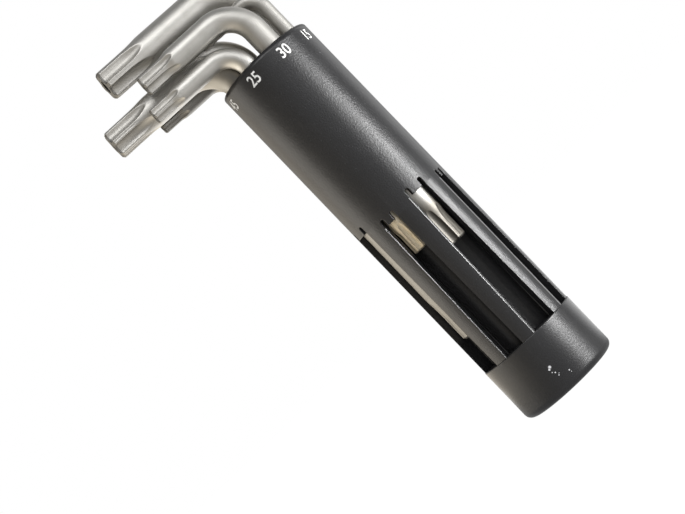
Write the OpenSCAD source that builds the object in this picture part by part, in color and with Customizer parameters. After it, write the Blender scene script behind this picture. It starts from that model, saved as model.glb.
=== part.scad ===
// Star keys in a slotted handle-case: eight bent keys hang by their long arms in the bores of a round case.
// The case stands on its end cap at z = 0 and its axis is the Z axis. The short arms point along -X.

/* [Case] */
// Width of the ribs between the slots, round the outside of the case
rib_w = 3.9; // [3.7:0.1:4.6]
// Free length of the slots below the long arm that reaches lowest
foot_room = 9.2; // [6:0.1:16]
// Height of the end cap
collar_h = 15.7; // [14:0.1:18]
// How far the end cap stands proud of the case, all round
collar_step = 0.15; // [0.05:0.05:0.4]
// Rounding of the end cap's bottom edge
base_round = 1.8; // [0.8:0.1:2.4]
// Rounding of the end cap's top edge
collar_round = 0.3; // [0.1:0.1:0.6]
// Rounding of the case's rim
rim_round = 0.6; // [0.2:0.1:0.7]
// Turn of the 30 key's slot about the case's axis, from -Y towards +X
first_turn = 13.6; // [0:0.1:30]

/* [Slots] */
// Length of the relief notches beside each lip
notch_len = 2.1; // [1.4:0.1:3]
// Width of a relief notch
notch_w = 1.2; // [0.8:0.1:1.3]
// Width of a slot's mouth at its lip, as a share of the key's shank
mouth_top_share = 0.88; // [0.8:0.01:0.95]
// Width of a slot's mouth at the end cap, as a share of the key's shank
mouth_foot_share = 1.1; // [1:0.01:1.15]
// Distance of a slot's straight sides from the bore's axis, as a share of the key's shank
mouth_start_share = 0.15; // [0.1:0.01:0.2]
// How far the slots reach down into the spigot, below the end cap's edge
foot_drop = 1; // [0.6:0.1:1.4]
// Radial clearance of a shank in its bore
bore_gap = 0.12; // [0.08:0.01:0.15]

/* [End cap fit] */
// Wall of the end cap round its socket
cap_wall = 2.9; // [2:0.1:4]
// Length of the spigot
spigot_len = 10.5; // [8:0.1:12]
// Radial gap between the spigot and its socket
spigot_gap = 0.02; // [0.01:0.01:0.05]
// Gap between the spigot's end and the socket's floor
seat_gap = 0.3; // [0.1:0.1:0.6]
// Diameter of the cored pocket in the spigot
core_d = 11; // [6:0.5:14]
// Floor between the cored pocket and the slots
core_floor = 1; // [0.6:0.1:2]

/* [Star tips] */
// Diameter across the valleys, as a share of the diameter across the points
valley_share = 0.713; // [0.7:0.001:0.73]
// Radius of a flute, as a share of the diameter across the points
flute_share = 0.2125; // [0.2:0.0005:0.22]
// Length of the tip before its taper, as a share of the diameter across the points
tip_len_share = 1.2; // [1.15:0.05:1.4]
// Length of a flute before its run-out, without the share below
flute_len = 2.2; // [1.8:0.1:2.6]
// Length of a flute before its run-out that goes with the star, as a share of the diameter across the points
flute_len_share = 0.48; // [0.44:0.01:0.5]
// Radius of the curve on which a flute runs out of the shank, as a share of the diameter across the points
runout_share = 1.8; // [1.5:0.1:2.4]
// Angle through which the run-out's cutter is swept
runout_angle = 36; // [34:1:45]
// Length of the taper between tip and shank, as a share of the diameter across the points
taper_share = 0.5; // [0.3:0.05:0.8]
// Chamfer of the tip, as a share of the diameter across the points
chamfer_share = 0.07; // [0.03:0.01:0.1]
// Diameter of the tamper pin's hole, as a share of the diameter across the points
pin_share = 0.43; // [0.38:0.01:0.46]
// Depth of the tamper pin's hole, as a share of the diameter across the points
pin_depth_share = 0.6; // [0.4:0.05:0.8]
// Inner radius of the bend, as a share of the shank
bend_share = 0.72; // [0.65:0.01:0.75]
// How much the shank is drawn thinner in the bend, on its radius
bend_thin = 0.03; // [0.02:0.01:0.06]
// How far the straight arms lap over the bend's ends
bend_lap = 0.2; // [0.1:0.05:0.3]

/* [15 key] */
// Diameter across the points of the star
star_15 = 3.3; // [3.2:0.05:3.5]
// Diameter of the shank
shank_15 = 3.6; // [3.5:0.05:3.8]
// Length of the long arm, over the bend
long_15 = 56; // [54:0.5:60]
// Length of the short arm, over the bend
short_15 = 20; // [18:0.5:22]
// Height of the short arm's axis above the rim
rise_15 = 13; // [12.8:0.1:13.2]
// Wall between the bore and the outside
wall_15 = 1.08; // [1.05:0.01:1.1]
// Swivel of the short arm, from -X towards -Y
swivel_15 = -22.5; // [-23:0.5:-22]
// Length of the key's slot, from the end cap to the lip
slot_15 = 41.6; // [38.6:0.1:43.6]
// Turn of the stars about their arms
lobe_15 = 13; // [11:0.5:15]

/* [20 key] */
// Diameter across the points of the star
star_20 = 3.9; // [3.7:0.05:4]
// Diameter of the shank
shank_20 = 4.5; // [4.3:0.05:4.6]
// Length of the long arm, over the bend
long_20 = 66; // [62:0.5:70]
// Length of the short arm, over the bend
short_20 = 22.4; // [21:0.1:24]
// Height of the short arm's axis above the rim
rise_20 = 5.8; // [5.6:0.1:5.9]
// Wall between the bore and the outside
wall_20 = 0.93; // [0.8:0.01:1]
// Swivel of the short arm, from -X towards -Y
swivel_20 = 2.5; // [0:0.5:3]
// Length of the key's slot, from the end cap to the lip
slot_20 = 41.6; // [38.6:0.1:43.6]
// Turn of the stars about their arms
lobe_20 = 13; // [11:0.5:15]

/* [25 key] */
// Diameter across the points of the star
star_25 = 4.45; // [4.3:0.05:4.6]
// Diameter of the shank
shank_25 = 5; // [4.8:0.05:5.1]
// Length of the long arm, over the bend
long_25 = 68.6; // [66:0.1:72]
// Length of the short arm, over the bend
short_25 = 27.2; // [26:0.1:29]
// Height of the short arm's axis above the rim
rise_25 = 6.5; // [6.3:0.1:7]
// Wall between the bore and the outside
wall_25 = 0.83; // [0.75:0.01:0.95]
// Swivel of the short arm, from -X towards -Y
swivel_25 = 0; // [0:0.5:4]
// Length of the key's slot, from the end cap to the lip
slot_25 = 41.6; // [38.6:0.1:43.6]
// Turn of the stars about their arms
lobe_25 = 13; // [11:0.5:15]

/* [27 key] */
// Diameter across the points of the star
star_27 = 5; // [4.9:0.05:5.2]
// Diameter of the shank
shank_27 = 5.5; // [5.3:0.05:5.6]
// Length of the long arm, over the bend
long_27 = 75; // [72:0.5:78]
// Length of the short arm, over the bend
short_27 = 28.5; // [27:0.5:30]
// Height of the short arm's axis above the rim
rise_27 = 19.7; // [19.3:0.1:20.5]
// Wall between the bore and the outside
wall_27 = 0.8; // [0.75:0.01:0.9]
// Swivel of the short arm, from -X towards -Y
swivel_27 = -2; // [-4:0.5:-2]
// Length of the key's slot, from the end cap to the lip
slot_27 = 42.3; // [39.3:0.1:44.3]
// Turn of the stars about their arms
lobe_27 = 13; // [11:0.5:15]

/* [30 key] */
// Diameter across the points of the star
star_30 = 5.55; // [5.4:0.05:5.7]
// Diameter of the shank
shank_30 = 6.3; // [6.1:0.05:6.4]
// Length of the long arm, over the bend
long_30 = 80.5; // [78:0.5:84]
// Length of the short arm, over the bend
short_30 = 32; // [30:0.5:34]
// Height of the short arm's axis above the rim
rise_30 = 13.4; // [13:0.1:14]
// Wall between the bore and the outside
wall_30 = 0.72; // [0.7:0.01:0.75]
// Swivel of the short arm, from -X towards -Y
swivel_30 = 0; // [0:0.5:3]
// Length of the key's slot, from the end cap to the lip
slot_30 = 42.9; // [39.9:0.1:44.9]
// Turn of the stars about their arms
lobe_30 = 13; // [11:0.5:15]

/* [40 key] */
// Diameter across the points of the star
star_40 = 6.7; // [6.5:0.05:6.8]
// Diameter of the shank
shank_40 = 7; // [6.9:0.05:7.1]
// Length of the long arm, over the bend
long_40 = 88; // [86:0.5:91]
// Length of the short arm, over the bend
short_40 = 35; // [33:0.5:37]
// Height of the short arm's axis above the rim
rise_40 = 12.1; // [11.9:0.1:12.4]
// Wall between the bore and the outside
wall_40 = 0.8; // [0.75:0.01:0.9]
// Swivel of the short arm, from -X towards -Y
swivel_40 = -2; // [-3:0.5:-2]
// Length of the key's slot, from the end cap to the lip
slot_40 = 43.4; // [40.4:0.1:45.4]
// Turn of the stars about their arms
lobe_40 = 13; // [11:0.5:15]

/* [45 key] */
// Diameter across the points of the star
star_45 = 7.85; // [7.7:0.05:7.9]
// Diameter of the shank
shank_45 = 8.2; // [8:0.05:8.25]
// Length of the long arm, over the bend
long_45 = 95.9; // [94:0.1:98]
// Length of the short arm, over the bend
short_45 = 37; // [36:0.1:38]
// Height of the short arm's axis above the rim
rise_45 = 9.2; // [9.1:0.1:9.5]
// Wall between the bore and the outside
wall_45 = 1; // [0.95:0.01:1.1]
// Swivel of the short arm, from -X towards -Y
swivel_45 = 0; // [-0.5:0.5:0.5]
// Length of the key's slot, from the end cap to the lip
slot_45 = 44.1; // [41.1:0.1:46.1]
// Turn of the stars about their arms
lobe_45 = 1; // [0:0.5:3]

/* [50 key] */
// Diameter across the points of the star
star_50 = 8.5; // [8.3:0.05:8.55]
// Diameter of the shank
shank_50 = 8.6; // [8.6:0.05:8.7]
// Length of the long arm, over the bend
long_50 = 105.2; // [103:0.1:107]
// Length of the short arm, over the bend
short_50 = 44.1; // [42:0.1:45]
// Height of the short arm's axis above the rim
rise_50 = 21.3; // [21.2:0.1:22.2]
// Wall between the bore and the outside
wall_50 = 1.63; // [1.5:0.01:1.75]
// Swivel of the short arm, from -X towards -Y
swivel_50 = 3.5; // [3:0.5:4.5]
// Length of the key's slot, from the end cap to the lip
slot_50 = 44.4; // [41.4:0.1:46.4]
// Turn of the stars about their arms
lobe_50 = 12.5; // [10.5:0.5:14.5]

/* [Hidden] */
$fn = 96;

// How far a cutter runs past the face that it cuts
overrun = collar_h / 10;

// The keys' sizes, in their order round the case
KEYS = [
  [star_30, shank_30, long_30, short_30, rise_30, wall_30, swivel_30, slot_30, lobe_30],
  [star_15, shank_15, long_15, short_15, rise_15, wall_15, swivel_15, slot_15, lobe_15],
  [star_50, shank_50, long_50, short_50, rise_50, wall_50, swivel_50, slot_50, lobe_50],
  [star_27, shank_27, long_27, short_27, rise_27, wall_27, swivel_27, slot_27, lobe_27],
  [star_40, shank_40, long_40, short_40, rise_40, wall_40, swivel_40, slot_40, lobe_40],
  [star_20, shank_20, long_20, short_20, rise_20, wall_20, swivel_20, slot_20, lobe_20],
  [star_45, shank_45, long_45, short_45, rise_45, wall_45, swivel_45, slot_45, lobe_45],
  [star_25, shank_25, long_25, short_25, rise_25, wall_25, swivel_25, slot_25, lobe_25]
];
PLACES = [for (i = [0 : len(KEYS) - 1]) i];
FLUTES = 6;

function star(i) = KEYS[i][0];
function shank(i) = KEYS[i][1];
function long_arm(i) = KEYS[i][2];
function short_arm(i) = KEYS[i][3];
function rise(i) = KEYS[i][4];
function arm_z(i) = case_h + rise(i);
function wall(i) = KEYS[i][5];
function swivel(i) = KEYS[i][6];
function slot_len(i) = KEYS[i][7];
function lobe_turn(i) = KEYS[i][8];

// Radius of a key's bend, on the shank's axis
function bend_r(i) = (bend_share + 1 / 2) * shank(i);
// Radius of a key's bore
function bore_r(i) = shank(i) / 2 + bore_gap;
// Distance of a bore from the case's axis
function bore_place(i) = case_d / 2 - wall(i) - bore_r(i);

// The slots and the equally wide ribs fill the case's circumference
function total(values, i = 0) = i == len(values) ? 0 : values[i] + total(values, i + 1);
function mouth_w(i) = mouth_foot_share * shank(i);
case_d = (total([for (i = PLACES) mouth_w(i)]) + len(KEYS) * rib_w) / PI;
// The case is as high as the arm that reaches lowest needs
case_h = collar_h + foot_room + max([for (i = PLACES) long_arm(i) - shank(i) / 2 - rise(i)]);
spigot_d = case_d + 2 * (collar_step - cap_wall - spigot_gap);

// Each slot's turn follows from the widths before it
function mouth_angle(i) = 360 * mouth_w(i) / (PI * case_d);
rib_angle = 360 * rib_w / (PI * case_d);
function turn(i) =
  i == 0 ? first_turn : turn(i - 1) + (mouth_angle(i - 1) + mouth_angle(i)) / 2 + rib_angle;

// One flute of a tip that points along -Z: a straight groove that curves out of the shank at its end
module flute(i) {
  radius = flute_share * star(i);
  place = valley_share * star(i) / 2 + radius;
  straight = flute_len + flute_len_share * star(i);
  sweep_r = runout_share * star(i);
  translate([place, 0, -overrun])
    cylinder(r = radius, h = overrun + straight);
  translate([place + sweep_r, 0, straight])
    mirror([1, 0, 0])
      rotate([90, 0, 0])
        rotate_extrude(angle = runout_angle)
          translate([sweep_r, 0])
            circle(r = radius);
}

// A straight arm with a star tip at z = 0, in the direction of +Z
module arm(i, length) {
  tip_r = star(i) / 2;
  chamfer = chamfer_share * star(i);
  tip_len = tip_len_share * star(i);
  taper = taper_share * star(i);
  difference() {
    rotate_extrude()
      polygon([
        [0, 0],
        [tip_r - chamfer, 0],
        [tip_r, chamfer],
        [tip_r, tip_len],
        [shank(i) / 2, tip_len + taper],
        [shank(i) / 2, length],
        [0, length]
      ]);
    for (k = [0 : FLUTES - 1])
      rotate([0, 0, lobe_turn(i) + k * 360 / FLUTES])
        flute(i);
  }
}

// The hole for a tamper pin, in the end of a short arm
module pin_hole(i) {
  translate([0, 0, -overrun])
    cylinder(d = pin_share * star(i), h = overrun + pin_depth_share * star(i));
}

// A bent key with its long arm on the Z axis and its short arm along -X
module bent_key(i) {
  bend_z = arm_z(i) - bend_r(i);
  low_z = arm_z(i) + shank(i) / 2 - long_arm(i);
  tip_x = short_arm(i) - shank(i) / 2;
  translate([0, 0, low_z])
    arm(i, bend_z - low_z + bend_lap);
  translate([-bend_r(i), 0, bend_z])
    rotate([90, 0, 0])
      rotate_extrude(angle = 90)
        translate([bend_r(i), 0])
          circle(r = shank(i) / 2 - bend_thin);
  translate([-tip_x, 0, arm_z(i)])
    rotate([0, 90, 0])
      difference() {
        arm(i, tip_x - bend_r(i) + bend_lap);
        pin_hole(i);
      }
}

// A key in its bore
module placed_key(i) {
  color("silver")
    rotate([0, 0, turn(i)])
      translate([0, -bore_place(i), 0])
        rotate([0, 0, swivel(i) - turn(i)])
          bent_key(i);
}

// Outline of a slot's mouth: it widens towards the end cap, and two notches flank the lip at its top
module mouth_outline(i) {
  top_x = mouth_top_share * shank(i) / 2;
  foot_x = mouth_w(i) / 2;
  drop_x = foot_x + (foot_x - top_x) * foot_drop / slot_len(i);
  lip_x = top_x - notch_w;
  notch_z = slot_len(i) + notch_len - notch_w / 2;
  polygon([
    [-drop_x, -foot_drop],
    [drop_x, -foot_drop],
    [top_x, slot_len(i)],
    [top_x, notch_z],
    [lip_x, notch_z],
    [lip_x, slot_len(i)],
    [-lip_x, slot_len(i)],
    [-lip_x, notch_z],
    [-top_x, notch_z],
    [-top_x, slot_len(i)]
  ]);
  for (side = [-1, 1])
    translate([side * (top_x + lip_x) / 2, notch_z])
      circle(d = notch_w);
}

// The bore, slot and notches of one key. The slot's sides start outside the bore's widest part
module key_space(i) {
  side_y = mouth_start_share * shank(i);
  rotate([0, 0, turn(i)])
    translate([0, -bore_place(i), collar_h]) {
      translate([0, 0, -foot_drop])
        cylinder(r = bore_r(i), h = case_h - collar_h + foot_drop + overrun);
      translate([0, -side_y, 0])
        rotate([90, 0, 0])
          linear_extrude(height = case_d / 2 - bore_place(i) - side_y + overrun)
            mouth_outline(i);
    }
}

// A cylinder from z = 0 with a rounded top edge
module round_topped(radius, height, edge) {
  rotate_extrude()
    union() {
      square([radius - edge, height]);
      square([radius, height - edge]);
      translate([radius - edge, height - edge])
        circle(r = edge);
    }
}

module case_body() {
  color([0.06, 0.06, 0.06])
    difference() {
      union() {
        translate([0, 0, collar_h])
          round_topped(case_d / 2, case_h - collar_h, rim_round);
        translate([0, 0, collar_h - spigot_len])
          cylinder(d = spigot_d, h = spigot_len + overrun);
      }
      for (i = PLACES)
        key_space(i);
      translate([0, 0, collar_h - spigot_len - overrun])
        cylinder(d = core_d, h = spigot_len - foot_drop - core_floor + overrun);
    }
}

module end_cap() {
  cap_r = case_d / 2 + collar_step;
  color([0.07, 0.07, 0.07])
    difference() {
      rotate_extrude()
        union() {
          translate([0, base_round])
            square([cap_r, collar_h - base_round - collar_round]);
          square([cap_r - base_round, collar_h]);
          translate([0, collar_h / 2])
            square([cap_r - collar_round, collar_h / 2]);
          translate([cap_r - base_round, base_round])
            circle(r = base_round);
          translate([cap_r - collar_round, collar_h - collar_round])
            circle(r = collar_round);
        }
      translate([0, 0, collar_h - spigot_len - seat_gap])
        cylinder(r = spigot_d / 2 + spigot_gap, h = spigot_len + seat_gap + overrun);
    }
}

module key_30() { placed_key(0); }
module key_15() { placed_key(1); }
module key_50() { placed_key(2); }
module key_27() { placed_key(3); }
module key_40() { placed_key(4); }
module key_20() { placed_key(5); }
module key_45() { placed_key(6); }
module key_25() { placed_key(7); }

case_body();
end_cap();
key_15();
key_20();
key_25();
key_27();
key_30();
key_40();
key_45();
key_50();
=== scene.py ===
"""A set of bent star keys in a slotted handle-case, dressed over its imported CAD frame.

The case stands on its end cap at z = 0 and its axis is the Z axis. The short arms point along -X.
Lengths in the size classes are millimetres; meshes are built in metres. Turns about the axis are counted
from -Y towards +X.
"""

import logging
from dataclasses import dataclass
from enum import Enum
from math import cos, pi, radians, sin, sqrt, tau
from typing import Any

import bmesh
import bpy
import numpy as np
from bpy.types import ID, Material, Mesh, Node, NodeSocket as Socket, NodeTree, Object, World
from mathutils import Matrix, Vector


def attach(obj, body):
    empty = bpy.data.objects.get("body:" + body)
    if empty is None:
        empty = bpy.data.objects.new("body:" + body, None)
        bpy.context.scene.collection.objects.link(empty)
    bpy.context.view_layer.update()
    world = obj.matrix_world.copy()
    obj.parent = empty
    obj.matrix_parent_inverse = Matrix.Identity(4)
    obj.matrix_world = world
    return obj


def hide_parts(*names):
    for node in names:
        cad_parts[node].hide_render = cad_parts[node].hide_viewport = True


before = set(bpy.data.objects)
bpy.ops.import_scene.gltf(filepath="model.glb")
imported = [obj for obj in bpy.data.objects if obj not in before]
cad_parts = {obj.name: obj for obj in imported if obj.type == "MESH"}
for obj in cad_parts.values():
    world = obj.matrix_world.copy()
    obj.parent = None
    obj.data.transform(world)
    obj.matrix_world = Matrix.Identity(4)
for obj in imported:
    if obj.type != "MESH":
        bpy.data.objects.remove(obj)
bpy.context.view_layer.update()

LOG = logging.getLogger("star_keys")
MM = 0.001
IMAGE_WIDTH = 685
SENSOR_WIDTH = 36.0
WHITE = (1.0, 1.0, 1.0)

Colour = tuple[float, float, float]
Place = tuple[float, float, float]
Range = tuple[float, float]
Ramp = tuple[float, float, float, float]
Fleck = tuple[float, float, float]


class Body(str, Enum):
    """The CAD bodies that pieces ride on. A key's body ends in its number."""

    CASE = "case"
    KEY = "key_"


class Slot(str, Enum):
    """The record's material slots by name; no piece here is given one."""

    CASE = "case"
    KEYS = "key_steel"


class Mixed(Enum):
    """What a Mix node mixes: its data type and the places of its two inputs and its output."""

    NUMBER = ("FLOAT", 2, 3, 0)
    VECTOR = ("VECTOR", 4, 5, 1)
    COLOUR = ("RGBA", 6, 7, 2)


class NodeKit:
    """Short forms for building a node tree."""

    TO_NUMBER = ("LENGTH", "DOT_PRODUCT", "DISTANCE")

    def __init__(self, tree: NodeTree) -> None:
        """Wraps the tree to build in."""
        self.tree = tree

    def add(self, kind: str, inputs: dict[int | str, Any] | None = None, **settings: Any) -> Node:
        """Adds a node.

        Args:
            kind: The node's type name.
            inputs: What its inputs take, by place or name: sockets to link, or constants.
            **settings: Properties to set on the node before that.

        Returns:
            The new node.
        """
        node = self.tree.nodes.new(kind)
        for name, value in settings.items():
            setattr(node, name, value)
        for place, value in (inputs or {}).items():
            if isinstance(value, Socket):
                self.tree.links.new(value, node.inputs[place])
            else:
                node.inputs[place].default_value = value
        return node

    def math(self, operation: str, *values: Any, clamp: bool = False) -> Socket:
        """Adds a math node on sockets or numbers and returns its result's socket."""
        inputs = dict(enumerate(values))
        return self.add("ShaderNodeMath", inputs, operation=operation, use_clamp=clamp).outputs[0]

    def times(self, first: Any, second: Any) -> Socket:
        """Multiplies two sockets or numbers."""
        return self.math("MULTIPLY", first, second)

    def vector(self, operation: str, *values: Any, scale: Any = None) -> Socket:
        """Adds a vector math node.

        Args:
            operation: The node's operation.
            *values: Its vectors.
            scale: Its scale, if it takes one.

        Returns:
            The resulting vector's socket, or the value's for a length, distance or dot product.
        """
        inputs: dict[int | str, Any] = dict(enumerate(values))
        if scale is not None:
            inputs["Scale"] = scale
        node = self.add("ShaderNodeVectorMath", inputs, operation=operation)
        return node.outputs["Value" if operation in self.TO_NUMBER else "Vector"]

    def ramp(self, value: Any, low: Any, high: Any, to_low: float = 0.0, to_high: float = 1.0) -> Socket:
        """Maps low..high smoothly to to_low..to_high and holds the ends."""
        inputs = dict(enumerate((value, low, high, to_low, to_high)))
        return self.add("ShaderNodeMapRange", inputs, interpolation_type="SMOOTHSTEP", clamp=True).outputs[0]

    def noise(self, where: Any, scale: Any, detail: float = 2.0, roughness: float = 0.5) -> Socket:
        """Adds a noise texture with a number of features per unit and returns its value's socket."""
        inputs = {"Vector": where, "Scale": scale, "Detail": detail, "Roughness": roughness}
        return self.add("ShaderNodeTexNoise", inputs, noise_dimensions="3D").outputs[0]

    def mix(self, share: Any, first: Any, second: Any, what: Mixed = Mixed.COLOUR) -> Socket:
        """Mixes a share of the second colour, vector or number into the first."""
        kind, low, high, out = what.value
        return self.add("ShaderNodeMix", {0: share, low: first, high: second}, data_type=kind).outputs[out]

    def coordinates(self) -> Socket:
        """Adds the object's own coordinates."""
        return self.add("ShaderNodeTexCoord").outputs["Object"]

    def part(self, vector: Any, axis: str) -> Socket:
        """Takes the X, Y or Z coordinate out of a vector."""
        return self.add("ShaderNodeSeparateXYZ", {0: vector}).outputs[axis]

    def attribute(self, name: str) -> Socket:
        """Reads a named value that is stored on the mesh."""
        return self.add("ShaderNodeAttribute", attribute_name=name).outputs["Fac"]

    def show(self, shader: Node) -> None:
        """Shows a shader through the material's output."""
        self.add("ShaderNodeOutputMaterial", {"Surface": shader.outputs[0]})


def rgba(colour: Colour) -> tuple[float, float, float, float]:
    """Adds a full alpha to a colour."""
    return (*colour, 1.0)


def node_kit(owner: Material | World) -> NodeKit:
    """Empties the node tree of a material or world.

    Args:
        owner: The material or world.

    Returns:
        A kit for its tree.
    """
    owner.use_nodes = True
    owner.node_tree.nodes.clear()
    return NodeKit(owner.node_tree)


def declare(tree: NodeTree, inputs: dict[str, str], outputs: dict[str, str]) -> None:
    """Declares a group's named sockets.

    Args:
        tree: The group's tree.
        inputs: The inputs' names and kinds.
        outputs: The outputs' names and kinds.
    """
    for way, sockets in (("INPUT", inputs), ("OUTPUT", outputs)):
        for name, kind in sockets.items():
            tree.interface.new_socket(name=name, in_out=way, socket_type="NodeSocket" + kind)


def add_object(name: str, data: ID) -> Object:
    """Adds an object to the scene.

    Args:
        name: The object's name.
        data: Its mesh, curve, light or camera.

    Returns:
        The object.
    """
    made = bpy.data.objects.new(name, data)
    bpy.context.scene.collection.objects.link(made)
    return made


def plain_mesh(owner: Object) -> Mesh:
    """Turns an object with its modifiers into a plain mesh."""
    bpy.context.view_layer.update()
    return bpy.data.meshes.new_from_object(owner.evaluated_get(bpy.context.evaluated_depsgraph_get()))


def round_axis(radius: float, turn: float, height: float = 0.0) -> Place:
    """Finds the place at a radius, a turn about the axis in radians and a height."""
    return (radius * sin(turn), -radius * cos(turn), height)


class EffectGroups:
    """Shader node groups that several finishes share."""

    GRAIN_DEPTH_MM = 0.05
    FINE_DETAIL = 3.0
    COARSE_DETAIL = 4.0

    @classmethod
    def grain(cls) -> NodeTree:
        """Makes the group for a moulded or tumbled micro-grain.

        Returns:
            A group from coordinates and two scales to a bumped normal and a blotch value.
        """
        tree = bpy.data.node_groups.new("surface_grain", "ShaderNodeTree")
        scales = {"Fine": "Float", "Coarse": "Float", "Strength": "Float"}
        inputs = {"Where": "Vector", "Edge": "Vector"} | scales
        declare(tree, inputs, {"Normal": "Vector", "Blotch": "Float"})
        kit = NodeKit(tree)
        given = kit.add("NodeGroupInput").outputs
        bump = kit.add("ShaderNodeBump", {
            "Distance": cls.GRAIN_DEPTH_MM * MM,
            "Strength": given["Strength"],
            "Height": kit.noise(given["Where"], given["Fine"], cls.FINE_DETAIL),
            "Normal": given["Edge"],
        })
        blotch = kit.noise(given["Where"], given["Coarse"], cls.COARSE_DETAIL)
        kit.add("NodeGroupOutput", {"Normal": bump.outputs[0], "Blotch": blotch})
        return tree


@dataclass(frozen=True)
class SlotEdges:
    """The two outer edges of a slot, in degrees and millimetres."""

    turn: float
    foot_half: float
    top_half: float
    low_z: float
    high_z: float

    @property
    def slope(self) -> float:
        """Change of the slot's half width with height."""
        return (self.top_half - self.foot_half) / (self.high_z - self.low_z)


@dataclass(frozen=True)
class PlasticFinish:
    """Black moulded plastic with a fine matte grain and light scuffs."""

    name: str
    colour: Colour = (0.016, 0.016, 0.017)
    worn: Colour = (0.045, 0.043, 0.041)
    roughness: float = 0.35
    blotch_roughness: float = 0.12
    rub_gloss: float = 0.08
    grain_per_mm: float = 2.4
    grain_strength: float = 1.0
    blotch_per_mm: float = 0.12
    edge_mm: float = 0.32
    edge_samples: int = 8
    rub_turn: Range = (0.02, 0.25)
    rub_patches: Ramp = (0.35, 0.65, 0.35, 1.0)
    rub_share: float = 0.55
    streak_per_mm: float = 0.9
    streak_stretch: float = 0.12
    streak_detail: Range = (3.0, 0.6)
    streak_worn: Ramp = (0.55, 0.85, 0.0, 0.18)
    rim_mm: Range | None = None
    rim_lean: float = 1.1
    flecks: tuple[Fleck, ...] = ()
    fleck_colour: Colour = (0.72, 0.72, 0.74)
    fleck_radius_mm: float = 13.65
    fleck_noise_per_mm: float = 4.0
    fleck_ragged: float = 0.8
    fleck_edge: Range = (0.9, 1.5)
    slots: tuple[SlotEdges, ...] = ()
    wall_mm: float = 13.5
    wall_play_mm: float = 0.04
    round_mm: float = 0.5
    round_lean: float = 1.35
    far_round_mm: float = 3.6
    far_lean: float = 0.18
    polish_range: Range = (0.03, 0.25)
    polish_ior: float = 1.9
    polish_roughness: float = 0.36

    def _rounded_slots(self, kit: NodeKit, normal: Any) -> tuple[Any, Any]:
        """Rounds the slots' outer edges in the normals, if the piece has slots.

        A slot's first edge, at the lower turn, is tight and rubbed bright, and the other wide and gentle.

        Args:
            kit: The tree to build in.
            normal: The normal's socket.

        Returns:
            The rounded normal's socket, and the polish's share.
        """
        if not self.slots:
            return normal, 0.0
        where = kit.coordinates()
        level = kit.vector("MULTIPLY", where, (1.0, 1.0, 0.0))
        inner_wall = (self.wall_mm - self.wall_play_mm) * MM
        outer = kit.math("GREATER_THAN", kit.vector("LENGTH", level), inner_wall)
        height = kit.part(where, "Z")
        leaning: Any = kit.vector("NORMALIZE", level)
        near: Any = 0.0
        polish: Any = 0.0
        for slot in self.slots:
            turn = radians(slot.turn)
            tangent = (cos(turn), sin(turn), 0.0)
            across = kit.vector("DOT_PRODUCT", where, tangent)
            half_at_floor = (slot.foot_half - slot.slope * slot.low_z) * MM
            half = kit.math("MULTIPLY_ADD", height, slot.slope, half_at_floor)
            gap = kit.math("SUBTRACT", kit.math("ABSOLUTE", across), half)
            faces = kit.vector("DOT_PRODUCT", where, round_axis(1.0, turn))
            below = kit.math("LESS_THAN", height, slot.high_z * MM)
            here = kit.times(kit.math("GREATER_THAN", faces, 0.0), below)
            first = kit.math("LESS_THAN", across, 0.0)
            width = kit.mix(first, self.far_round_mm * MM, self.round_mm * MM, Mixed.NUMBER)
            most = kit.mix(first, self.far_lean, self.round_lean, Mixed.NUMBER)
            share = kit.times(here, kit.ramp(gap, 0.0, width, 1.0, 0.0))
            lean = kit.math("TANGENT", kit.times(share, most))
            push = kit.times(lean, kit.math("MULTIPLY_ADD", first, 2.0, -1.0))
            leaning = kit.vector("ADD", leaning, kit.vector("SCALE", tangent, scale=push))
            near = kit.math("MAXIMUM", near, share)
            polish = kit.math("MAXIMUM", polish, kit.times(share, first))
        rounded = kit.times(outer, kit.math("GREATER_THAN", near, 0.0))
        turned = kit.mix(rounded, normal, kit.vector("NORMALIZE", leaning), Mixed.VECTOR)
        polish = kit.times(outer, kit.ramp(polish, *self.polish_range))
        return kit.vector("NORMALIZE", turned), polish

    def _flecked(self, kit: NodeKit, colour: Any) -> Any:
        """Adds the pale flecks, if the piece has any.

        Args:
            kit: The tree to build in.
            colour: The colour's socket.

        Returns:
            The flecked colour's socket.
        """
        if not self.flecks:
            return colour
        where = kit.coordinates()
        ragged = kit.noise(where, self.fleck_noise_per_mm / MM)
        mask: Any = 0.0
        for turn, height, size in self.flecks:
            spot = Vector(round_axis(self.fleck_radius_mm, radians(turn), height)) * MM
            radius = size * MM
            away = kit.vector("DISTANCE", where, spot)
            away = kit.math("MULTIPLY_ADD", ragged, self.fleck_ragged * radius, away)
            low, high = (share * radius for share in self.fleck_edge)
            mask = kit.math("MAXIMUM", mask, kit.ramp(away, low, high, 1.0, 0.0))
        return kit.mix(mask, colour, rgba(self.fleck_colour))

    def material(self, grain: NodeTree) -> Material:
        """Builds the finish's material.

        Args:
            grain: The shared grain group.

        Returns:
            The material.
        """
        made = bpy.data.materials.new(self.name)
        kit = node_kit(made)
        where = kit.coordinates()
        edge = kit.add("ShaderNodeBevel", {"Radius": self.edge_mm * MM}, samples=self.edge_samples).outputs[0]
        normal, polish = self._rounded_slots(kit, edge)
        leaning = normal
        if self.rim_mm is not None:
            low, high = (value * MM for value in self.rim_mm)
            lean = kit.ramp(kit.part(where, "Z"), low, high, 0.0, self.rim_lean)
            leaning = kit.vector("ADD", normal, kit.vector("SCALE", (0.0, 0.0, 1.0), scale=lean))
            leaning = kit.vector("NORMALIZE", leaning)
        texture = kit.add("ShaderNodeGroup", {
            "Where": where,
            "Fine": self.grain_per_mm / MM,
            "Coarse": self.blotch_per_mm / MM,
            "Strength": self.grain_strength,
            "Edge": leaning,
        }, node_tree=grain)
        blotch = texture.outputs["Blotch"]
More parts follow.
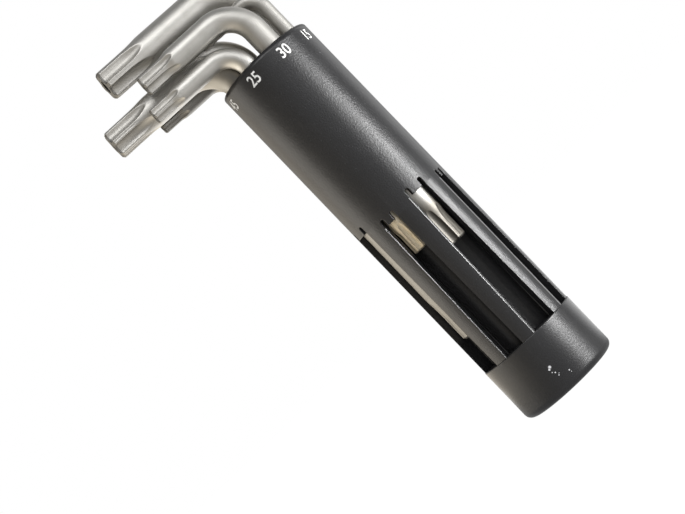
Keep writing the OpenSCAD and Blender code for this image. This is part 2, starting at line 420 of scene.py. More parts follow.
        # rubbed edges: where the rounded normal departs from the flat one
        flat = kit.add("ShaderNodeNewGeometry").outputs["Normal"]
        turned = kit.math("SUBTRACT", 1.0, kit.vector("DOT_PRODUCT", edge, flat))
        patches = kit.ramp(blotch, *self.rub_patches)
        rub = kit.times(kit.ramp(turned, *self.rub_turn), patches)
        drawn_out = kit.vector("MULTIPLY", where, (1.0, 1.0, self.streak_stretch))
        streak = kit.noise(drawn_out, self.streak_per_mm / MM, *self.streak_detail)
        streak = kit.ramp(streak, *self.streak_worn)
        worn = kit.math("MULTIPLY_ADD", rub, self.rub_share, streak, clamp=True)
        colour = kit.mix(worn, rgba(self.colour), rgba(self.worn))
        smoothest = self.roughness - self.blotch_roughness / 2
        rough = kit.math("MULTIPLY_ADD", blotch, self.blotch_roughness, smoothest)
        shader = kit.add("ShaderNodeBsdfPrincipled", {
            "Base Color": self._flecked(kit, colour),
            "Roughness": kit.math("MULTIPLY_ADD", rub, -self.rub_gloss, rough),
            "Normal": texture.outputs["Normal"],
            "Coat Weight": polish,
            "Coat IOR": self.polish_ior,
            "Coat Roughness": self.polish_roughness,
            "Coat Normal": normal,
        })
        kit.show(shader)
        return made


@dataclass(frozen=True)
class NickelFinish:
    """Satin nickel plating over drawn steel with dull blotches; rougher, and darker by painted shade, in the
    flutes, on the ends, in the pin holes and over stretches of some keys.
    """

    name: str
    colour: Colour = (0.50, 0.49, 0.465)
    # the colour of dull blotches and drawing lines, the metal's own tone, and also of the painted shade in
    # the flutes; the long tip has its own two colours below
    shade: Colour = (0.34, 0.33, 0.305)
    tip_colour: Colour = (0.50, 0.49, 0.465)
    tip_shade: Colour = (0.25, 0.24, 0.22)
    # colour of the painted shade over chosen stretches of some keys
    oil: Colour = (0.13, 0.125, 0.115)
    # colour of the painted shade on the ends and in the pin holes
    hole: Colour = (0.03, 0.03, 0.03)
    roughness: float = 0.41
    drawn_roughness: float = 0.08
    groove_roughness: float = 0.06
    oily_roughness: float = 0.0
    tip_roughness: float = 0.0
    hole_roughness: float = 0.3
    grain_per_mm: float = 5.0
    grain_strength: float = 0.06
    blotch_per_mm: float = 0.35
    blotch_dull: Ramp = (0.45, 0.75, 0.0, 0.30)
    lines_per_mm: float = 0.25
    lines_round: float = 40.0
    lines_detail: Range = (4.0, 0.6)
    drawn_dull: Ramp = (0.5, 0.8, 0.0, 0.20)
    # share of painted shade in the flutes, by their depth
    groove_share: float = 0.2
    # how much of that painted shade colour the ends and pin holes take
    hole_share: float = 0.92
    # where that painted shade lies along a key, in mm from its long tip, and its share; none if not set
    oily_mm: Range | None = None
    oily_from_mm: float = -10.0
    oily_fade_mm: float = 6.0
    oily_share: float = 0.7

    def material(self, grain: NodeTree) -> Material:
        """Builds the finish's material.

        Args:
            grain: The shared grain group.

        Returns:
            The material.
        """
        made = bpy.data.materials.new(self.name)
        kit = node_kit(made)
        names = ("groove", "long_tip", "dark", "along", "round")
        groove, tip, dark, along, round_turn = map(kit.attribute, names)
        texture = kit.add("ShaderNodeGroup", {
            "Where": kit.coordinates(),
            "Fine": self.grain_per_mm / MM,
            "Coarse": self.blotch_per_mm / MM,
            "Strength": self.grain_strength,
            "Edge": kit.add("ShaderNodeNewGeometry").outputs["Normal"],
        }, node_tree=grain)
        # drawing lines run along the arm: stretched noise on the sweep's own coordinates
        lines = kit.add("ShaderNodeCombineXYZ", {
            "X": kit.times(along, self.lines_per_mm),
            "Y": kit.times(round_turn, self.lines_round),
        })
        drawn = kit.noise(lines.outputs[0], 1.0, *self.lines_detail)
        blotches = kit.ramp(texture.outputs["Blotch"], *self.blotch_dull)
        dull = kit.math("ADD", blotches, kit.ramp(drawn, *self.drawn_dull))
        # painted shade over a stretch of the key, fading in and out along it
        oil: Any = 0.0
        if self.oily_mm is not None:
            above = kit.ramp(along, self.oily_from_mm, self.oily_from_mm + self.oily_fade_mm)
            oil = kit.times(above, kit.ramp(along, *self.oily_mm, self.oily_share, 0.0))
        shade = kit.mix(tip, rgba(self.shade), rgba(self.tip_shade))
        base = kit.mix(tip, rgba(self.colour), rgba(self.tip_colour))
        # the first layer is the metal's own dull tone; the second, third and fourth layers are painted shade:
        # in the flutes, over a stretch of the key, and on the ends and in the pin holes
        layers = (
            (dull, shade),
            (kit.times(groove, self.groove_share), shade),
            (oil, rgba(self.oil)),
            (kit.times(dark, self.hole_share), rgba(self.hole)),
        )
        for share, colour in layers:
            base = kit.mix(share, base, colour)
        rough: Any = self.roughness
        rougher = (
            (drawn, self.drawn_roughness), (groove, self.groove_roughness), (oil, self.oily_roughness),
            (tip, self.tip_roughness), (dark, self.hole_roughness),
        )
        for share, more in rougher:
            rough = kit.math("MULTIPLY_ADD", share, more, rough, clamp=True)
        shader = kit.add("ShaderNodeBsdfPrincipled", {
            "Metallic": 1.0,
            "Base Color": base,
            "Roughness": rough,
            "Normal": texture.outputs["Normal"],
        })
        kit.show(shader)
        return made


# the keys that differ from plain nickel, by number
KEY_FINISHES = {
    # painted shade: the long arm up to the bend is painted a little darker to dim the neck's highlight, and
    # made rougher
    15: NickelFinish("nickel_shaded_neck", oily_mm=(50.0, 57.0), oily_share=0.3, oily_roughness=0.5),
    # painted shade: the whole key is painted darker, as it lies in the shade of the other keys
    20: NickelFinish("nickel_shaded_key", oily_mm=(200.0, 210.0), oily_share=0.6),
    25: NickelFinish(
        "nickel_brassy_tip", tip_colour=(0.80, 0.72, 0.57), tip_shade=(0.58, 0.53, 0.42), tip_roughness=0.2,
    ),
    # painted shade: the long tip and the neck around the case's rim are painted darker to dim their
    # highlights, and made rougher
    30: NickelFinish(
        "nickel_shaded_tip_and_neck", tip_colour=(0.24, 0.225, 0.20), tip_roughness=0.08,
        oily_mm=(70.0, 80.0), oily_from_mm=56.0, oily_share=0.3, oily_roughness=0.5,
    ),
    # painted shade: the long arm is painted darker inside the case, where its slot shades it
    45: NickelFinish("nickel_shaded_arm", oily_mm=(80.0, 106.0)),
}


@dataclass(frozen=True)
class InkFinish:
    """White pad-printed ink, a little thin in places."""

    name: str
    colour: Colour = (0.78, 0.78, 0.76)
    thin_colour: Colour = (0.25, 0.25, 0.25)
    thin_per_mm: float = 2.6
    thin_detail: float = 3.0
    thin: Ramp = (0.5, 0.72, 0.0, 0.35)
    roughness: float = 0.5

    def material(self) -> Material:
        """Builds the finish's material.

        Returns:
            The material.
        """
        made = bpy.data.materials.new(self.name)
        kit = node_kit(made)
        patches = kit.noise(kit.coordinates(), self.thin_per_mm / MM, self.thin_detail)
        thin = kit.ramp(patches, *self.thin)
        shader = kit.add("ShaderNodeBsdfPrincipled", {
            "Base Color": kit.mix(thin, rgba(self.colour), rgba(self.thin_colour)),
            "Roughness": self.roughness,
        })
        kit.show(shader)
        return made


class FlutedSweep:
    """Geometry Nodes group that sweeps a round, fluted section along a row of stations."""

    NAME = "fluted_sweep"
    PLAIN_BELOW = 1e-7
    LEAST_REACH = 1e-6
    WELD = 2e-7
    GROOVE_GAIN = 4.0

    def __init__(self) -> None:
        """Builds the group."""
        self.tree = bpy.data.node_groups.new(self.NAME, "GeometryNodeTree")
        inputs = {"Ring Points": "Int", "Flutes": "Int", "Lobe Rounding": "Float", "Finish": "Material"}
        declare(self.tree, {"Stations": "Geometry"} | inputs, {"Swept": "Geometry"})
        self._build()

    def _build(self) -> None:
        """Builds the sweep: a grid of stations by ring points, placed round each station."""
        kit = NodeKit(self.tree)
        given = kit.add("NodeGroupInput").outputs
        stations = given["Stations"]
        size = kit.add("GeometryNodeAttributeDomainSize", {0: stations}, component="MESH")
        columns = kit.math("ADD", given["Ring Points"], 1.0)
        rows = size.outputs["Point Count"]
        grid = kit.add("GeometryNodeMeshGrid", {"Vertices X": rows, "Vertices Y": columns})
        index = kit.add("GeometryNodeInputIndex").outputs[0]
        row = kit.math("FLOOR", kit.math("DIVIDE", kit.math("ADD", index, 0.5), columns))
        column = kit.math("SUBTRACT", index, kit.times(row, columns))
        turn = kit.math("DIVIDE", kit.times(column, tau), given["Ring Points"])

        def named(name: str, kind: str = "FLOAT") -> Socket:
            """Reads a station's attribute at the grid point's row.

            Args:
                name: The attribute's name.
                kind: The attribute's data type.

            Returns:
                The value's socket.
            """
            read = kit.add("GeometryNodeInputNamedAttribute", {"Name": name}, data_type=kind)
            inputs = {"Geometry": stations, "Value": read.outputs["Attribute"], "Index": row}
            return kit.add("GeometryNodeSampleIndex", inputs, data_type=kind, domain="POINT").outputs[0]

        centre, across, side = (named(name, "FLOAT_VECTOR") for name in ("position", "across", "side"))
        reach, place, radius = map(named, ("reach", "flute_place", "flute_radius"))
        period = kit.math("DIVIDE", tau, given["Flutes"])
        half = kit.times(period, 0.5)
        shifted = kit.math("ADD", kit.math("SUBTRACT", turn, named("lobe_turn")), half)
        local = kit.math("SUBTRACT", kit.math("FLOORED_MODULO", shifted, period), half)
        offset = kit.times(place, kit.math("SINE", local))
        squares = (kit.times(value, value) for value in (radius, offset))
        wall = kit.math("SQRT", kit.math("MAXIMUM", kit.math("SUBTRACT", *squares), 0.0))
        flute = kit.math("SUBTRACT", kit.times(place, kit.math("COSINE", local)), wall)
        rounded = kit.math("SMOOTH_MIN", reach, flute, given["Lobe Rounding"])
        plain = kit.math("LESS_THAN", radius, self.PLAIN_BELOW)
        fluted = kit.times(kit.math("SUBTRACT", 1.0, plain), rounded)
        rim = kit.math("ADD", kit.times(plain, reach), fluted)
        spoke = kit.vector("SCALE", across, scale=kit.times(rim, kit.math("COSINE", turn)))
        lean = kit.vector("SCALE", side, scale=kit.times(rim, kit.math("SINE", turn)))
        place_to = kit.vector("ADD", centre, kit.vector("ADD", spoke, lean))
        moved = kit.add("GeometryNodeSetPosition", {"Geometry": grid.outputs["Mesh"], "Position": place_to})
        geometry = moved.outputs[0]
        longest = kit.math("MAXIMUM", reach, self.LEAST_REACH)
        depth = kit.math("DIVIDE", kit.math("SUBTRACT", reach, rim), longest)
        # flute depth, used by the finishes for roughness and painted shade, then the stations' share of
        # painted shade at the ends
        stored = {
            "groove": kit.math("MULTIPLY", depth, self.GROOVE_GAIN, clamp=True),
            "round": kit.math("SINE", turn),
        }
        stored |= {name: named(name) for name in ("long_tip", "dark", "along")}
        for name, value in stored.items():
            inputs = {"Geometry": geometry, "Name": name, "Value": value}
            keep = kit.add("GeometryNodeStoreNamedAttribute", inputs, data_type="FLOAT", domain="POINT")
            geometry = keep.outputs[0]
        weld = kit.add("GeometryNodeMergeByDistance", {"Geometry": geometry, "Distance": self.WELD})
        flip = kit.add("GeometryNodeFlipFaces", {0: weld.outputs[0]})
        smooth = kit.add("GeometryNodeSetShadeSmooth", {"Geometry": flip.outputs[0]}, domain="FACE")
        real = kit.add("GeometryNodeRealizeInstances", {"Geometry": smooth.outputs[0]}).outputs[0]
        dress = kit.add("GeometryNodeSetMaterial", {"Geometry": real, "Material": given["Finish"]})
        kit.add("NodeGroupOutput", {"Swept": dress.outputs[0]})

    def run(self, owner: Object, settings: dict[str, Any]) -> None:
        """Sweeps an object's stations and leaves it with a plain mesh.

        Args:
            owner: The object that holds the stations.
            settings: Input names and their values.
        """
        modifier = owner.modifiers.new(self.NAME, "NODES")
        modifier.node_group = self.tree
        inputs = [item for item in self.tree.interface.items_tree if item.in_out == "INPUT"]
        identifiers = {item.name: item.identifier for item in inputs}
        for name, value in settings.items():
            modifier[identifiers[name]] = value
        mesh = plain_mesh(owner)
        stations = owner.data
        owner.modifiers.clear()
        owner.data = mesh
        mesh.name = owner.name
        bpy.data.meshes.remove(stations)


@dataclass(frozen=True)
class TipShares:
    """Proportions of the tips and bends, as shares of the star's or shank's diameter.

    Only flute_base and flute_spare are lengths.
    """

    valley: float = 0.713
    flute: float = 0.2125
    tip_len: float = 1.2
    flute_base: float = 2.2
    flute_len: float = 0.48
    flute_spare: float = 0.4
    runout: float = 1.8
    taper: float = 0.5
    chamfer: float = 0.07
    pin: float = 0.43
    pin_depth: float = 0.6
    bend: float = 0.72
    rounding: float = 0.035


@dataclass(frozen=True)
class KeySizes:
    """One key's sizes and its place in the case, in millimetres and degrees."""

    number: int
    star: float
    shank: float
    long_arm: float
    short_arm: float
    rise: float
    wall: float
    swivel: float
    lobe: float
    slot: float


@dataclass(frozen=True)
class CaseSizes:
    """The case's sizes and the keys in their order round it."""

    height: float = 107.5
    collar: float = 15.7
    rib: float = 3.9
    bore_gap: float = 0.12
    mouth_foot: float = 1.1
    mouth_top: float = 0.88
    first_turn: float = 13.6
    keys: tuple[KeySizes, ...] = (
        KeySizes(30, 5.55, 6.3, 80.5, 32.0, 13.4, 0.72, 0.0, 13.0, 42.9),
        KeySizes(15, 3.3, 3.6, 56.0, 20.0, 13.0, 1.08, -22.5, 13.0, 41.6),
        KeySizes(50, 8.5, 8.6, 105.2, 44.1, 21.3, 1.63, 3.5, 12.5, 44.4),
        KeySizes(27, 5.0, 5.5, 75.0, 28.5, 19.7, 0.8, -2.0, 13.0, 42.3),
        KeySizes(40, 6.7, 7.0, 88.0, 35.0, 12.1, 0.8, -2.0, 13.0, 43.4),
        KeySizes(20, 3.9, 4.5, 66.0, 22.4, 5.8, 0.93, 2.5, 13.0, 41.6),
        KeySizes(45, 7.85, 8.2, 95.9, 37.0, 9.2, 1.0, 0.0, 1.0, 44.1),
        KeySizes(25, 4.45, 5.0, 68.6, 27.2, 6.5, 0.83, 0.0, 13.0, 41.6),
    )

    @property
    def diameter(self) -> float:
        """Outer diameter: the slots and the equally wide ribs fill the circumference."""
        return (self.mouth_foot * sum(key.shank for key in self.keys) + len(self.keys) * self.rib) / pi

    def turns(self) -> list[float]:
        """Works out each slot's turn about the axis.

        Returns:
            The turns in degrees, in the keys' order.
        """
        degrees = 360 / (pi * self.diameter)
        turns = [self.first_turn]
        for before, key in zip(self.keys, self.keys[1:]):
            turns.append(turns[-1] + (self.mouth_foot * (before.shank + key.shank) / 2 + self.rib) * degrees)
        return turns

    def slots(self) -> tuple[SlotEdges, ...]:
        """Works out the slots' outer edges.

        Returns:
            The edges, in the keys' order.
        """
        edges = []
        for key, turn in zip(self.keys, self.turns()):
            foot_half, top_half = (share * key.shank / 2 for share in (self.mouth_foot, self.mouth_top))
            edges.append(SlotEdges(turn, foot_half, top_half, self.collar, self.collar + key.slot))
        return tuple(edges)

    def bore(self, key: KeySizes) -> float:
        """Works out the distance of a key's bore from the axis."""
        return self.diameter / 2 - key.wall - key.shank / 2 - self.bore_gap


@dataclass
class Station:
    """One ring of the sweep, in the arm's own coordinates."""

    back: float
    reach: float
    fluted: bool = True
    # share of painted shade on the end faces, chamfers and in the pin holes
    dark: float = 0.0


@dataclass
class BentKey:
    """A bent star key that replaces its CAD node."""

    LENGTHS = ("reach", "flute_place", "flute_radius")
    LABELS = ("centre", "across", *LENGTHS, "along", "long_tip", "dark", "lobe_turn")
    FLUTES = 6

    sizes: KeySizes
    case: CaseSizes
    turn: float
    shares: TipShares = TipShares()
    ring_points: int = 252
    bend_rings: int = 36
    tip_rings: int = 88
    middle: Range = (0.25, 0.27)
    end_shares: tuple[float, ...] = (0.35, 0.7, 0.94)
    long_step: float = 4.0
    short_step: float = 3.0
    tip_fade: float = 3.0
    crisp: float = 0.05
    # share of painted shade on the end faces and chamfers
    ground: float = 0.75

    def _end(self, drilled: bool) -> list[Station]:
        """Lists the rings of an arm's end, from its middle to the chamfer's outer edge.

        Args:
            drilled: Whether the end has a tamper pin's hole.

        Returns:
            The rings, each by its distance from the end.
        """
        star, crisp, ground = self.sizes.star, self.crisp, self.ground
        # the third value of each ring is its share of painted shade: full deep in the pin hole, less at its
        # mouth, and a set share on the end face and the chamfer
        if drilled:
            hole, depth = self.shares.pin * star / 2, self.shares.pin_depth * star
            plain = [
                (depth, 0.0, 1.0), (depth, hole * 0.5, 1.0), (depth, hole - crisp, 1.0),
                (depth - crisp, hole, 1.0), (depth / 2, hole, 1.0), (4 * crisp, hole, 0.9),
                (1.5 * crisp, hole, 0.6), (0.0, hole + 1.5 * crisp, ground),
            ]
            inner = hole + 2.5 * crisp
        else:
            plain = [(0.0, 0.0, ground), (0.0, self.middle[0] * star, ground)]
            inner = self.middle[1] * star
        plain.append((0.0, inner, ground))
        tip_r, chamfer = star / 2, self.shares.chamfer * star
        edge = tip_r - chamfer
        fluted = [(0.0, inner + (edge - inner) * share, ground) for share in self.end_shares]
        fluted += [
            (0.0, edge - crisp, ground),
            (0.3 * crisp, edge, ground),
            (chamfer - crisp, tip_r - crisp, 0.7 * ground),
            (chamfer, tip_r - 0.3 * crisp, 0.3 * ground),
        ]
        rings = [Station(back, reach, False, dark) for back, reach, dark in plain]
        return rings + [Station(back, reach, True, dark) for back, reach, dark in fluted]

    def _tip(self, drilled: bool) -> list[Station]:
        """Lists the rings of a tip, from the middle of its end to where the plain shank starts.

        Args:
            drilled: Whether the end has a tamper pin's hole.

        Returns:
            The rings, each by its distance from the end.
        """
        star, shank, shares = self.sizes.star, self.sizes.shank, self.shares
        tip_r = star / 2
        rings = self._end(drilled)
        start, taper_end = shares.tip_len * star, (shares.tip_len + shares.taper) * star
        last = max(self._flute_end, taper_end) + 2 * self.crisp
        first = shares.chamfer * star + self.crisp
        for step in range(self.tip_rings + 1):
            back = first + (last - first) * step / self.tip_rings
            t = min(max((back - start) / (taper_end - start), 0.0), 1.0)
            rings.append(Station(back, tip_r + (shank / 2 - tip_r) * t * t * (3 - 2 * t)))
        return rings

    @property
    def _straight(self) -> float:
        """Length of a flute before its run-out."""
        return self.shares.flute_base + self.shares.flute_len * self.sizes.star

    @property
    def _sweep(self) -> float:
        """Radius of a flute's run-out."""
        return (self.shares.runout + self.shares.flute) * self.sizes.star

    @property
    def _flute_end(self) -> float:
        """Distance from the end at which the flutes run out of the shank."""
        lift = self.sizes.shank / 2 - self.shares.valley * self.sizes.star / 2
        return self._straight + sqrt(2 * self._sweep * lift - lift * lift) + self.shares.flute_spare

    def _flute_place(self, back: float) -> float:
        """Works out the flutes' distance from the arm's axis.

        Args:
            back: The distance from the tip's end.

        Returns:
            The distance in millimetres.
        """
        place = (self.shares.valley / 2 + self.shares.flute) * self.sizes.star
        past = back - self._straight
        if past <= 0:
            return place
        return place + self._sweep - sqrt(max(self._sweep * self._sweep - past * past, 0.0))

    def _stations(self) -> dict[str, np.ndarray]:
        """Lays the rings along the bent path, in the key's own coordinates.

        Returns:
            The stations' attributes by name, in millimetres.
        """
        key = self.sizes
        bend_r = (self.shares.bend + 0.5) * key.shank
        arm_z = self.case.height + key.rise
        bend_z = arm_z - bend_r
        low_z = arm_z + key.shank / 2 - key.long_arm
        tip_x = key.short_arm - key.shank / 2
        long_len, short_len = bend_z - low_z, tip_x - bend_r
        flute = self.shares.flute * key.star
        quarter = pi / 2
        # a station's centre, lean from +Z towards -X, distance along, ring and share of the tip's finish
        long_rings = self._tip(False)
        path = [((0.0, 0.0, low_z + ring.back), 0.0, ring.back, ring, 1.0) for ring in long_rings]
        plain = Station(0.0, key.shank / 2, False)
        reached = long_rings[-1].back
        spare = max(int((long_len - reached) / self.long_step), 2)
        for step in range(1, spare + 1):
            back = reached + (long_len - reached) * step / spare
            fade = max(0.0, 1 - (back - reached) / self.tip_fade)
            path.append(((0.0, 0.0, low_z + back), 0.0, back, plain, fade))
        for step in range(1, self.bend_rings + 1):
            lean = quarter * step / self.bend_rings
            centre = (-bend_r + bend_r * cos(lean), 0.0, bend_z + bend_r * sin(lean))
            path.append((centre, lean, long_len + bend_r * lean, plain, 0.0))
        short_rings = self._tip(True)
        total = long_len + bend_r * quarter + short_len
        reached = short_rings[-1].back
        spare = max(int((short_len - reached) / self.short_step), 1)
        for step in range(1, spare):
            back = short_len - (short_len - reached) * step / spare
            path.append(((-tip_x + back, 0.0, arm_z), quarter, total - back, plain, 0.0))
        for ring in reversed(short_rings):
            path.append(((-tip_x + ring.back, 0.0, arm_z), quarter, total - ring.back, ring, 0.0))
        rows = []
        for centre, lean, along, ring, long_tip in path:
            across = (cos(lean), 0.0, sin(lean))
            place = self._flute_place(ring.back)
            radius = flute if ring.fluted else 0.0
            lobe = radians(key.lobe) * (1 if lean < quarter / 2 else -1)
            rows.append((centre, across, ring.reach, place, radius, along, long_tip, ring.dark, lobe))
        return {label: np.array(column) for label, column in zip(self.LABELS, zip(*rows))}

    def build(self, sweep: FlutedSweep, finish: Material) -> None:
        """Builds the key and lets it stand for its CAD node.

        Args:
            sweep: The Geometry Nodes sweep.
            finish: The key's material.
        """
        name = f"star_key_{self.sizes.number}"
        rows = self._stations()
        spin = np.array(Matrix.Rotation(radians(self.sizes.swivel), 3, "Z"))
        bore = np.array(round_axis(self.case.bore(self.sizes), radians(self.turn)))
        centres = (rows["centre"] @ spin.T + bore) * MM
        across = rows["across"] @ spin.T
        side = np.tile(spin @ np.array((0.0, 1.0, 0.0)), (len(centres), 1))
        mesh = bpy.data.meshes.new(name + "_stations")
        mesh.from_pydata([tuple(centre) for centre in centres], [], [])
        layers = {"across": across, "side": side}
        layers |= {label: rows[label] * (MM if label in self.LENGTHS else 1.0) for label in self.LABELS[2:]}
        for label, values in layers.items():
            kind, value = ("FLOAT_VECTOR", "vector") if values.ndim > 1 else ("FLOAT", "value")
            layer = mesh.attributes.new(label, kind, "POINT")
            layer.data.foreach_set(value, values.astype(np.float32).ravel())
        made = add_object(name, mesh)
        sweep.run(made, {
            "Ring Points": self.ring_points,
            "Flutes": self.FLUTES,
            "Lobe Rounding": self.shares.rounding * self.sizes.star * MM,
            "Finish": finish,
        })
        node = f"key_{self.sizes.number}"
        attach(made, Body.KEY.value + str(self.sizes.number))
        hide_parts(node)
        LOG.info("%s: %d faces for %s", name, len(made.data.polygons), node)


@dataclass
class SizeNumeral:
    """A plain white number on the case, below a key's bore."""

    number: int
    turn: float
    case: CaseSizes
    height: float = 2.95
    top_below_rim: float = 1.8
    narrow: float = 0.82
    lift: float = 0.02
    curve_steps: int = 6
    thicken: float = 0.012
    longest_edge: float = 0.12

    def build(self, ink: Material) -> None:
        """Builds the number and wraps it round the case.

        Args:
            ink: The ink's material.
        """
        name = f"size_{self.number}"
        text = bpy.data.curves.new(name, "FONT")
        text.body = str(self.number)
        text.size = 1.0
        text.resolution_u = self.curve_steps
        text.offset = self.thicken
        holder = add_object(name + "_text", text)
        mesh = plain_mesh(holder)
        bpy.data.objects.remove(holder)
        bpy.data.curves.remove(text)
        work = bmesh.new()
        work.from_mesh(mesh)
        bmesh.ops.triangulate(work, faces=work.faces[:])
        long_edges = [edge for edge in work.edges if edge.calc_length() > self.longest_edge]
        bmesh.ops.subdivide_edges(work, edges=long_edges, cuts=2)
        bmesh.ops.triangulate(work, faces=work.faces[:])
        points = np.array([vert.co for vert in work.verts])
        low, high = points.min(axis=0), points.max(axis=0)
        scale = self.height / (high[1] - low[1])
        radius = self.case.diameter / 2 + self.lift
        top = self.case.height - self.top_below_rim
        for vert in work.verts:
            x = (vert.co.x - (low[0] + high[0]) / 2) * scale * self.narrow
            z = top - (high[1] - vert.co.y) * scale
            vert.co = Vector(round_axis(radius, radians(self.turn) + x / radius, z)) * MM
        bmesh.ops.recalc_face_normals(work, faces=work.faces[:])
        for part in work.faces:
            centre = part.calc_center_median()
            if part.normal.dot(Vector((centre.x, centre.y, 0.0))) < 0:
                part.normal_flip()
        work.to_mesh(mesh)
        work.free()
        mesh.materials.clear()
        mesh.materials.append(ink)
        made = add_object(name, mesh)
        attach(made, Body.CASE.value)
        LOG.info("%s: %d faces", name, len(mesh.polygons))


@dataclass
class HandleCase:
    """The slotted case, its end cap and its numbers. A fleck has a turn in degrees, a height and a radius."""

    sizes: CaseSizes
    rim_below: Range = (1.3, 0.2)
    cap_grain: float = 0.6
    flecks: tuple[Fleck, ...] = (
        (-17.2, 7.0, 0.30), (-15.2, 7.4, 0.40), (-17.0, 6.1, 0.17), (-14.9, 5.6, 0.20),
        (-13.8, 4.6, 0.16), (-12.6, 4.9, 0.11), (-3.2, 3.8, 0.18), (-2.4, 3.2, 0.11),
    )

    def build(self, grain: NodeTree) -> None:
        """Dresses the CAD nodes and adds the numbers.

        Args:
            grain: The shared grain group.
        """
        sizes = self.sizes
        rim = tuple(sizes.height - below for below in self.rim_below)
        wall = sizes.diameter / 2
        finishes = {
            "case_body": PlasticFinish("case_plastic", rim_mm=rim, slots=sizes.slots(), wall_mm=wall),
            "end_cap": PlasticFinish("cap_plastic", flecks=self.flecks, grain_strength=self.cap_grain),
        }
        for node, finish in finishes.items():
            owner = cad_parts[node]
            owner.data.materials.clear()
            owner.data.materials.append(finish.material(grain))
            LOG.info("%s: %s", node, finish.name)
        ink = InkFinish("number_ink").material()
        for key, turn in zip(sizes.keys, sizes.turns()):
            SizeNumeral(key.number, turn, sizes).build(ink)


@dataclass(frozen=True)
class CameraPose:
    """The photograph's camera, in millimetres and degrees. The clip range is in metres."""

    place: Place = (-66.8, -378.9, 44.8)
    yaw: float = 7.166
    pitch: float = 2.25
    roll: float = 43.778
    focal_px: float = 1583.4
    clip: Range = (0.01, 20.0)

    def facing(self) -> tuple[Vector, Vector]:
        """Works out the way that the camera looks.

        Returns:
            The direction into the view and the level direction to its right.
        """
        yaw, pitch = radians(self.yaw), radians(self.pitch)
        ahead = Vector((sin(yaw) * cos(pitch), cos(yaw) * cos(pitch), sin(pitch)))
        return ahead, ahead.cross(Vector((0, 0, 1))).normalized()

    def turn(self) -> Matrix:
        """Works out the camera's turn.

        Returns:
            A matrix whose columns point to the image's right, to its top and towards the viewer.
        """
        ahead, level = self.facing()
        upright = level.cross(ahead)
        roll = radians(self.roll)
        right = cos(roll) * level - sin(roll) * upright
        up = sin(roll) * level + cos(roll) * upright
        return Matrix((right, up, -ahead)).transposed()

    def build(self) -> None:
        """Makes the camera and sets it as the scene's."""
        data = bpy.data.cameras.new("photo_camera")
        data.sensor_fit = "HORIZONTAL"
        data.sensor_width = SENSOR_WIDTH
        data.lens = self.focal_px * SENSOR_WIDTH / IMAGE_WIDTH
        data.clip_start, data.clip_end = self.clip
        made = add_object("photo_camera", data)
        made.matrix_world = Matrix.Translation(Vector(self.place) * MM) @ self.turn().to_4x4()
        bpy.context.scene.camera = made


@dataclass(frozen=True)
class Lamp:
    """A soft area light. Vectors are the photograph's directions: right, up and towards the viewer."""

    name: str
    place: Place
    along: Place
    size: Range
    radiance: float
    colour: Colour = WHITE


SLANT = (0.79, -0.43, -0.42)
LAMPS = (
    Lamp("right_box", (283.0, 255.0, 245.0), SLANT, (120.0, 215.0), 18.0),
    Lamp("low_box", (307.0, 242.0, 232.0), SLANT, (54.0, 215.0), 46.0),
    Lamp("top_panel", (-158.0, 258.0, 263.0), (1.0, 0.0, 0.0), (330.0, 160.0), 3.9),
    Lamp("left_panel", (-315.0, -310.0, -45.0), (-0.7, 0.7, 0.0), (420.0, 280.0), 2.1, (1.0, 0.95, 0.87)),
)


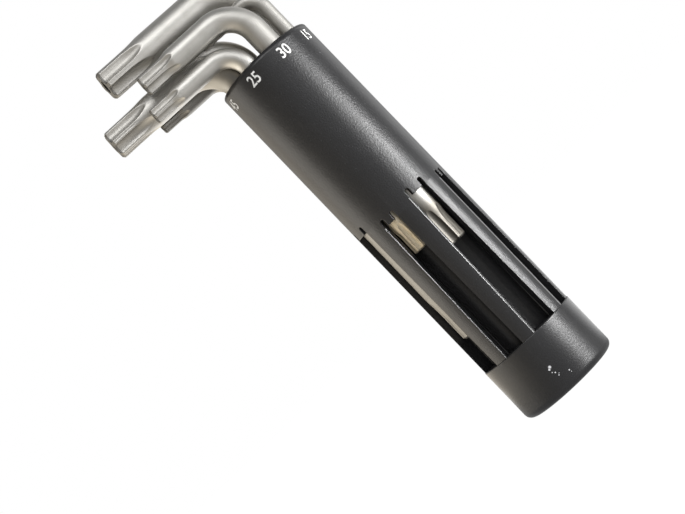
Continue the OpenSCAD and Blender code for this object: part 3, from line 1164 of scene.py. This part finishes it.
@dataclass
class Studio:
    """Floor, world, lights and camera."""

    camera: CameraPose
    lamps: tuple[Lamp, ...]
    aim: Place = (-5.0, 0.0, 70.0)
    ambient: float = 0.35
    room: Ramp = (0.1, 0.95, 0.20, 0.32)
    backdrop: Ramp = (0.3, 0.75, 0.5, 1.4)
    behind_range: Range = (0.15, 0.6)
    left_tint: Colour = (1.0, 0.91, 0.77)
    left_range: Range = (0.1, 0.6)
    floor_side: float = 6.0
    paper: tuple[Colour, Colour] = ((0.80, 0.80, 0.80), (0.84, 0.84, 0.84))
    paper_per_mm: float = 0.4
    paper_detail: float = 3.0
    dim_place: Place = (-22.0, 0.0, 0.0)
    dim_mm: Range = (30.0, 75.0)
    floor_front: Range = (0.4, 0.85)
    floor_right: Range = (0.86, 0.97)
    floor_left_mm: Range = (10.0, 60.0)
    floor_dim: float = 0.52
    floor_lit: float = 1.9
    floor_share: float = 0.9
    floor_glow: float = 1.09

    def _rays(self, kit: NodeKit) -> tuple[Socket, Socket]:
        """Tells the rays apart.

        Args:
            kit: The tree to build in.

        Returns:
            Two sockets: 1 for the rays of reflections, and 1 for the rays that see plain white.
        """
        path = kit.add("ShaderNodeLightPath").outputs
        white = kit.math("MAXIMUM", path["Is Camera Ray"], path["Is Transmission Ray"])
        return path["Is Glossy Ray"], white

    def _tinted(self, kit: NodeKit, left: Socket, glossy: Socket) -> Socket:
        """Colours the studio's white, which is warm to the left in reflections."""
        return kit.mix(kit.times(left, glossy), rgba(WHITE), rgba(self.left_tint))

    def _world(self) -> None:
        """Makes the world: a white backdrop behind the object, in a darker room."""
        world = bpy.data.worlds.new("studio")
        kit = node_kit(world)
        glossy, white = self._rays(kit)
        ahead, level = self.camera.facing()
        way = kit.vector("NORMALIZE", kit.add("ShaderNodeTexCoord").outputs["Generated"])
        depth = kit.vector("DOT_PRODUCT", way, ahead)
        aside = kit.math("ABSOLUTE", kit.vector("DOT_PRODUCT", way, level))
        front = kit.ramp(kit.times(depth, -1.0), *self.room)
        backdrop = kit.ramp(aside, *self.backdrop)
        seen = kit.mix(kit.ramp(depth, *self.behind_range), front, backdrop, Mixed.NUMBER)
        room = kit.mix(glossy, self.ambient, seen, Mixed.NUMBER)
        left = kit.ramp(kit.vector("DOT_PRODUCT", way, -level), *self.left_range)
        back = kit.add("ShaderNodeBackground", {
            "Color": self._tinted(kit, left, glossy),
            "Strength": kit.math("MAXIMUM", white, room),
        })
        kit.add("ShaderNodeOutputWorld", {"Surface": back.outputs[0]})
        bpy.context.scene.world = world

    def _floor(self) -> None:
        """Makes the pale floor below the case."""
        half = self.floor_side / 2
        mesh = bpy.data.meshes.new("floor")
        corners = ((-1, -1), (1, -1), (1, 1), (-1, 1))
        mesh.from_pydata([(x * half, y * half, 0.0) for x, y in corners], [], [(0, 1, 2, 3)])
        made = add_object("floor", mesh)
        material = bpy.data.materials.new("floor_white")
        mesh.materials.append(material)
        kit = node_kit(material)
        glossy, white = self._rays(kit)
        where = kit.coordinates()
        fibres = kit.noise(where, self.paper_per_mm / MM, self.paper_detail)
        matte = kit.add("ShaderNodeBsdfDiffuse", {"Color": kit.mix(fibres, *map(rgba, self.paper))})
        # reflections see the floor dim below the arms, in front and to the right, and lit elsewhere
        away = kit.vector("DISTANCE", where, tuple(value * MM for value in self.dim_place))
        lit = kit.ramp(away, *(value * MM for value in self.dim_mm))
        ahead, level = self.camera.facing()
        heading = kit.vector("NORMALIZE", where)
        for direction, limits in ((-ahead, self.floor_front), (level, self.floor_right)):
            facing = kit.vector("DOT_PRODUCT", heading, direction)
            lit = kit.times(lit, kit.ramp(facing, *limits, 1.0, 0.0))
        reflected = kit.mix(lit, self.floor_dim, self.floor_lit, Mixed.NUMBER)
        leftward = kit.times(kit.part(where, "X"), -1.0)
        left = kit.ramp(leftward, *(value * MM for value in self.floor_left_mm))
        glow = kit.add("ShaderNodeEmission", {
            "Color": self._tinted(kit, left, glossy),
            "Strength": kit.mix(glossy, self.floor_glow, reflected, Mixed.NUMBER),
        })
        share = kit.math("MAXIMUM", kit.times(white, self.floor_share), glossy)
        blend = kit.add("ShaderNodeMixShader", {0: share, 1: matte.outputs[0], 2: glow.outputs[0]})
        kit.show(blend)

    def _light(self, lamp: Lamp) -> None:
        """Makes one light.

        Args:
            lamp: The light's sizes.
        """
        turn = self.camera.turn()
        offset = turn @ Vector(lamp.place)
        away = offset.normalized()
        side = turn @ Vector(lamp.along)
        side = (side - away * side.dot(away)).normalized()
        data = bpy.data.lights.new(lamp.name, "AREA")
        data.shape = "RECTANGLE"
        data.size, data.size_y = (length * MM for length in lamp.size)
        data.energy = lamp.radiance * pi * data.size * data.size_y
        data.color = lamp.colour
        made = add_object(lamp.name, data)
        made.visible_camera = False
        pose = Matrix((side, away.cross(side), away)).transposed().to_4x4()
        made.matrix_world = Matrix.Translation((Vector(self.aim) + offset) * MM) @ pose

    def build(self) -> None:
        """Builds the studio."""
        bpy.context.scene.view_settings.view_transform = "Standard"
        self._world()
        self._floor()
        for lamp in self.lamps:
            self._light(lamp)
        self.camera.build()


def main() -> None:
    """Builds the dressed part and its studio."""
    logging.basicConfig(level=logging.INFO, format="%(name)s: %(message)s")
    grain = EffectGroups.grain()
    sizes = CaseSizes()
    HandleCase(sizes).build(grain)
    sweep = FlutedSweep()
    nickel = NickelFinish("nickel").material(grain)
    special = {number: finish.material(grain) for number, finish in KEY_FINISHES.items()}
    for key, turn in zip(sizes.keys, sizes.turns()):
        BentKey(key, sizes, turn).build(sweep, special.get(key.number, nickel))
    Studio(CameraPose(), LAMPS).build()
    bpy.context.view_layer.update()


if __name__ == "__main__":
    main()
